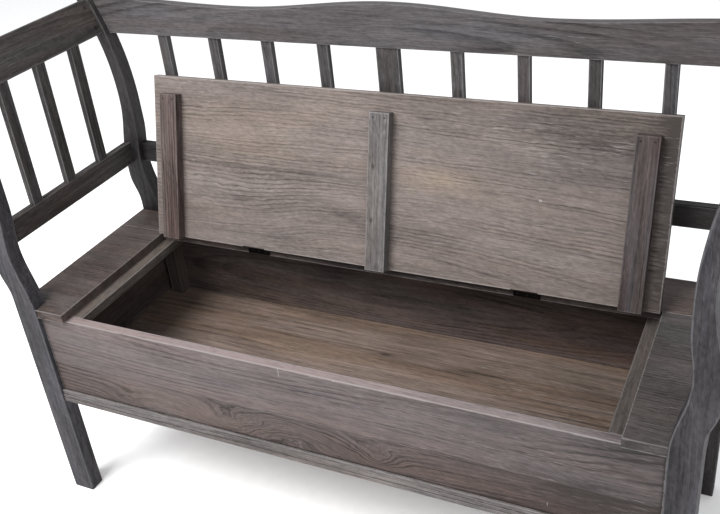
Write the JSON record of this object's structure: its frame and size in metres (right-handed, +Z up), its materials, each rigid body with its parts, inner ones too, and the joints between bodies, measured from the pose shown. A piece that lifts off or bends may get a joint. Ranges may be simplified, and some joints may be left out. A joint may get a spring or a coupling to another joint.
{
  "type": "storage bench with lift-up seat",
  "caption": "Wooden settle with slatted arms and back, curved flaring corner posts and a box seat under a hinged lid standing open.",
  "frame": {"origin": "on the floor, in the middle of the bench's footprint", "axes": "+X to the bench's left-to-right axis as seen from the front, +Y to the back, +Z up; the front faces -Y"},
  "size_m": [1.3016, 0.426, 0.911],
  "materials": {
    "post_wood": "dark grey stain, worn at the edges",
    "rail_wood": "dark grey-brown stain",
    "seat_wood": "grey-brown stain, matt",
    "lid_wood": "lighter grey-brown stain, matt",
    "floor_wood": "brown stain, matt",
    "dowel_wood": "bare beech",
    "hinge_steel": "dark bronzed steel",
    "screw_steel": "dull zinc"
  },
  "bodies": {
    "frame": {"front_left_post": "post_wood", "front_right_post": "post_wood", "rear_left_post": "post_wood", "rear_right_post": "post_wood", "left_arm_board": "rail_wood", "right_arm_board": "rail_wood", "left_arm_rail": "rail_wood", "right_arm_rail": "rail_wood", "left_arm_slat_1": "post_wood", "left_arm_slat_2": "post_wood", "left_arm_slat_3": "post_wood", "right_arm_slat_1": "post_wood", "right_arm_slat_2": "post_wood", "right_arm_slat_3": "post_wood", "crest_rail": "rail_wood", "back_lower_rail": "rail_wood", "back_centre_slat": "post_wood", "back_slat_1": "post_wood", "back_slat_2": "post_wood", "back_slat_3": "post_wood", "back_slat_4": "post_wood", "back_slat_5": "post_wood", "back_slat_6": "post_wood", "back_slat_7": "post_wood", "back_slat_8": "post_wood", "front_panel": "seat_wood", "back_panel": "seat_wood", "left_side_panel": "seat_wood", "right_side_panel": "seat_wood", "box_floor": "floor_wood", "front_moulding": "seat_wood", "front_left_block": "floor_wood", "front_right_block": "floor_wood", "rear_left_block": "floor_wood", "rear_right_block": "floor_wood", "left_bearer": "seat_wood", "right_bearer": "seat_wood", "left_seat_board": "seat_wood", "right_seat_board": "seat_wood", "rear_seat_board": "seat_wood", "frame_dowels": "dowel_wood", "left_hinge_fixed_leaf": "hinge_steel", "right_hinge_fixed_leaf": "hinge_steel", "left_hinge_pin": "hinge_steel", "right_hinge_pin": "hinge_steel", "hinge_frame_screws": "screw_steel"},
    "lid": {"lid_panel": "lid_wood", "left_batten": "lid_wood", "centre_batten": "lid_wood", "right_batten": "lid_wood", "batten_nails": "screw_steel", "left_hinge_lid_leaf": "hinge_steel", "right_hinge_lid_leaf": "hinge_steel", "hinge_lid_screws": "screw_steel"}
  },
  "joints": [
    {"name": "lid_hinge", "type": "hinge", "parent": "frame", "child": "lid", "pos_m": [0, 0.107, 0.45], "axis": [1, 0, 0], "range_deg": [0, 106.3]}
  ]
}
